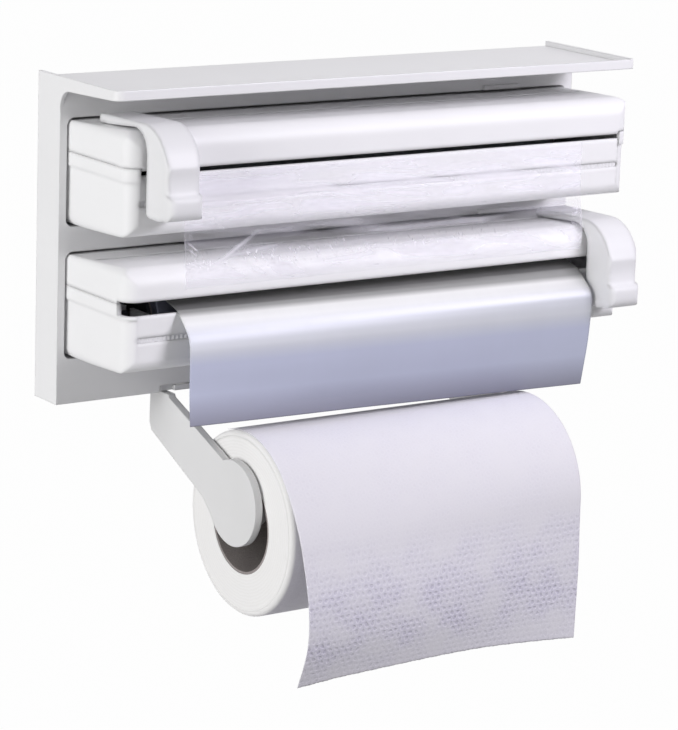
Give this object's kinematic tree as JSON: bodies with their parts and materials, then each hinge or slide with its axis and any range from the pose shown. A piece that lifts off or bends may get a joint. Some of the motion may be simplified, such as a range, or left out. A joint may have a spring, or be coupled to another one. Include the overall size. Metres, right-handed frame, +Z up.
{
  "type": "triple kitchen roll dispenser",
  "caption": "Wall-mounted white kitchen dispenser: a shelf, a cling film cassette and a foil cassette with sliding press cutters, and swing arms that hold a paper towel roll.",
  "frame": {"origin": "middle of the four wall screws, on the wall plane behind the frame", "axes": "+X to the right seen from the room, +Y into the wall, +Z up"},
  "size_m": [0.39, 0.1854, 0.3597],
  "materials": {
    "white_plastic": "gloss",
    "guide_plastic": "satin",
    "steel": "satin",
    "cardboard": "matte",
    "tissue": "matte",
    "cling_film": "gloss",
    "foil": "satin"
  },
  "bodies": {
    "frame": {"wall_frame": "white_plastic", "roll_bar": "white_plastic", "bar_screws": "steel", "arm_pins": "steel", "paper_sheet": "tissue"},
    "film_cassette": {"film_tray": "white_plastic", "film_grip_strip": "guide_plastic", "film_sheet": "cling_film"},
    "film_cover": {"film_lid": "white_plastic", "film_lid_pins": "steel"},
    "film_carriage": {"film_shoe": "guide_plastic"},
    "film_cutter": {"film_handle": "white_plastic", "film_handle_pin": "steel", "film_blade": "steel"},
    "film_spool": {"film_core": "cardboard", "film_plugs": "guide_plastic", "film_roll": "cling_film"},
    "foil_cassette": {"foil_tray": "white_plastic", "foil_grip_strip": "guide_plastic", "foil_sheet": "foil"},
    "foil_cover": {"foil_lid": "white_plastic", "foil_lid_pins": "steel"},
    "foil_carriage": {"foil_shoe": "guide_plastic"},
    "foil_cutter": {"foil_handle": "white_plastic", "foil_handle_pin": "steel", "foil_blade": "steel"},
    "foil_spool": {"foil_core": "cardboard", "foil_plugs": "guide_plastic", "foil_roll": "foil"},
    "left_holder": {"left_arm": "white_plastic"},
    "right_holder": {"right_arm": "white_plastic"},
    "kitchen_roll": {"paper_core": "cardboard", "paper_roll": "tissue"}
  },
  "joints": [
    {"name": "film_cassette_slide", "type": "slide", "parent": "frame", "child": "film_cassette", "axis": [0, -1, 0], "range_m": [0, 0.11]},
    {"name": "film_lid_hinge", "type": "hinge", "parent": "film_cassette", "child": "film_cover", "pos_m": [0, -0.015, 0.0595], "axis": [-1, 0, 0], "range_deg": [0, 5]},
    {"name": "film_cutter_slide", "type": "slide", "parent": "film_cover", "child": "film_carriage", "axis": [1, 0, 0], "range_m": [0, 0.334], "deforming": ["film_sheet"]},
    {"name": "film_handle_press", "type": "hinge", "parent": "film_carriage", "child": "film_cutter", "pos_m": [-0.167, -0.052, 0.07783], "axis": [1, 0, 0], "range_deg": [0, 2.5], "stiffness_Nm_per_rad": 3, "springref_deg": -2.86},
    {"name": "film_roll_spin", "type": "hinge", "parent": "film_cassette", "child": "film_spool", "pos_m": [0, -0.052, 0.0385], "axis": [1, 0, 0], "continuous": true},
    {"name": "foil_cassette_slide", "type": "slide", "parent": "frame", "child": "foil_cassette", "axis": [0, -1, 0], "range_m": [0, 0.11], "deforming": ["film_sheet"]},
    {"name": "foil_lid_hinge", "type": "hinge", "parent": "foil_cassette", "child": "foil_cover", "pos_m": [0, -0.015, -0.023], "axis": [-1, 0, 0], "range_deg": [0, 5]},
    {"name": "foil_cutter_slide", "type": "slide", "parent": "foil_cover", "child": "foil_carriage", "axis": [-1, 0, 0], "range_m": [0, 0.334], "deforming": ["foil_sheet"]},
    {"name": "foil_handle_press", "type": "hinge", "parent": "foil_carriage", "child": "foil_cutter", "pos_m": [0.167, -0.052, -0.00467], "axis": [1, 0, 0], "range_deg": [0, 2.5], "stiffness_Nm_per_rad": 3, "springref_deg": -2.86},
    {"name": "foil_roll_spin", "type": "hinge", "parent": "foil_cassette", "child": "foil_spool", "pos_m": [0, -0.052, -0.044], "axis": [1, 0, 0], "continuous": true},
    {"name": "left_arm_swing", "type": "hinge", "parent": "frame", "child": "left_holder", "pos_m": [-0.114, -0.0144, -0.096], "axis": [0, 1, 0], "range_deg": [0, 16]},
    {"name": "right_arm_swing", "type": "hinge", "parent": "frame", "child": "right_holder", "pos_m": [0.114, -0.0144, -0.096], "axis": [0, -1, 0], "range_deg": [0, 16]},
    {"name": "paper_roll_spin", "type": "hinge", "parent": "frame", "child": "kitchen_roll", "pos_m": [0, -0.107, -0.1677], "axis": [1, 0, 0], "continuous": true}
  ]
}
